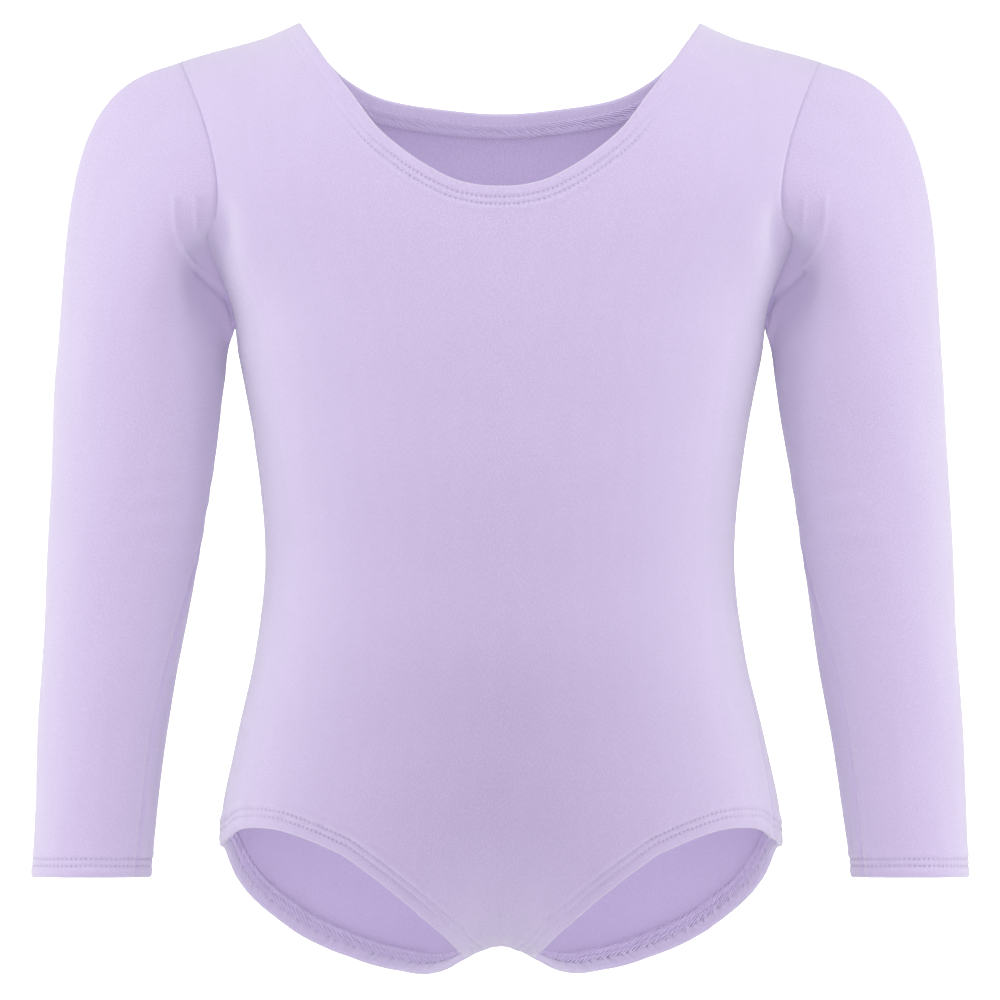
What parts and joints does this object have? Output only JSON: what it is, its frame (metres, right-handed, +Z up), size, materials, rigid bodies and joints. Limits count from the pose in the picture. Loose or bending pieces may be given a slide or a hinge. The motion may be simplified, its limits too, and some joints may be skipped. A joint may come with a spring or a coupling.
{
  "type": "gymnastics leotard",
  "caption": "Child's long-sleeved leotard in matte stretch jersey with a wide scoop neck, high-cut elastic leg openings, twin-needle hems and set-in sleeves.",
  "frame": {"origin": "midway between the shoulders, level with the two neck points where the shoulder seams meet the neck edge", "axes": "+Z up, +X towards the wearer's left, the front of the leotard faces -Y"},
  "size_m": [0.4228, 0.1353, 0.4281],
  "materials": {
    "jersey": "matte single jersey of cotton and elastane, pale lilac",
    "turned_jersey": "matte, the inside face of the jersey",
    "lining": "matte, thin knit",
    "overlocked_seam": "matte cloth edges bound with thread",
    "thread": "soft, textured polyester sewing thread",
    "elastic": "matte flat rubber elastic"
  },
  "bodies": {
    "trunk": {"back_panel": "jersey", "crotch_lining": "lining", "crotch_seam": "overlocked_seam", "front_panel": "jersey", "left_armhole_seam": "overlocked_seam", "left_leg_elastic": "elastic", "left_leg_hem": "turned_jersey", "left_leg_looper": "thread", "left_leg_stitch_inner": "thread", "left_leg_stitch_outer": "thread", "left_shoulder_seam": "overlocked_seam", "left_side_seam": "overlocked_seam", "neck_elastic": "elastic", "neck_hem": "turned_jersey", "neck_looper": "thread", "neck_stitch_inner": "thread", "neck_stitch_outer": "thread", "right_armhole_seam": "overlocked_seam", "right_leg_elastic": "elastic", "right_leg_hem": "turned_jersey", "right_leg_looper": "thread", "right_leg_stitch_inner": "thread", "right_leg_stitch_outer": "thread", "right_shoulder_seam": "overlocked_seam", "right_side_seam": "overlocked_seam"},
    "left_upper_sleeve": {"left_sleeve_cap": "jersey", "left_sleeve_elbow": "jersey", "left_sleeve_seam_cap": "overlocked_seam", "left_sleeve_seam_elbow": "overlocked_seam", "left_sleeve_seam_upper": "overlocked_seam", "left_sleeve_upper": "jersey"},
    "left_lower_sleeve": {"left_cuff_hem": "turned_jersey", "left_cuff_looper": "thread", "left_cuff_stitch_inner": "thread", "left_cuff_stitch_outer": "thread", "left_sleeve_lower": "jersey", "left_sleeve_seam_lower": "overlocked_seam"},
    "right_upper_sleeve": {"right_sleeve_cap": "jersey", "right_sleeve_elbow": "jersey", "right_sleeve_seam_cap": "overlocked_seam", "right_sleeve_seam_elbow": "overlocked_seam", "right_sleeve_seam_upper": "overlocked_seam", "right_sleeve_upper": "jersey"},
    "right_lower_sleeve": {"right_cuff_hem": "turned_jersey", "right_cuff_looper": "thread", "right_cuff_stitch_inner": "thread", "right_cuff_stitch_outer": "thread", "right_sleeve_lower": "jersey", "right_sleeve_seam_lower": "overlocked_seam"}
  },
  "joints": [
    {"name": "left_sleeve_raise", "type": "hinge", "parent": "trunk", "child": "left_upper_sleeve", "pos_m": [0.168, 0, -0.08], "axis": [0, -1, 0], "range_deg": [-3, 60], "deforming": ["left_sleeve_cap", "left_sleeve_seam_cap"]},
    {"name": "left_elbow_bend", "type": "hinge", "parent": "left_upper_sleeve", "child": "left_lower_sleeve", "pos_m": [0.168, 0, -0.2215], "axis": [-0.995, 0, -0.0995], "range_deg": [0, 90], "deforming": ["left_sleeve_elbow", "left_sleeve_seam_elbow"]},
    {"name": "right_sleeve_raise", "type": "hinge", "parent": "trunk", "child": "right_upper_sleeve", "pos_m": [-0.168, 0, -0.08], "axis": [0, 1, 0], "range_deg": [-3, 60], "deforming": ["right_sleeve_cap", "right_sleeve_seam_cap"]},
    {"name": "right_elbow_bend", "type": "hinge", "parent": "right_upper_sleeve", "child": "right_lower_sleeve", "pos_m": [-0.168, 0, -0.2215], "axis": [-0.995, 0, 0.0995], "range_deg": [0, 90], "deforming": ["right_sleeve_elbow", "right_sleeve_seam_elbow"]}
  ]
}
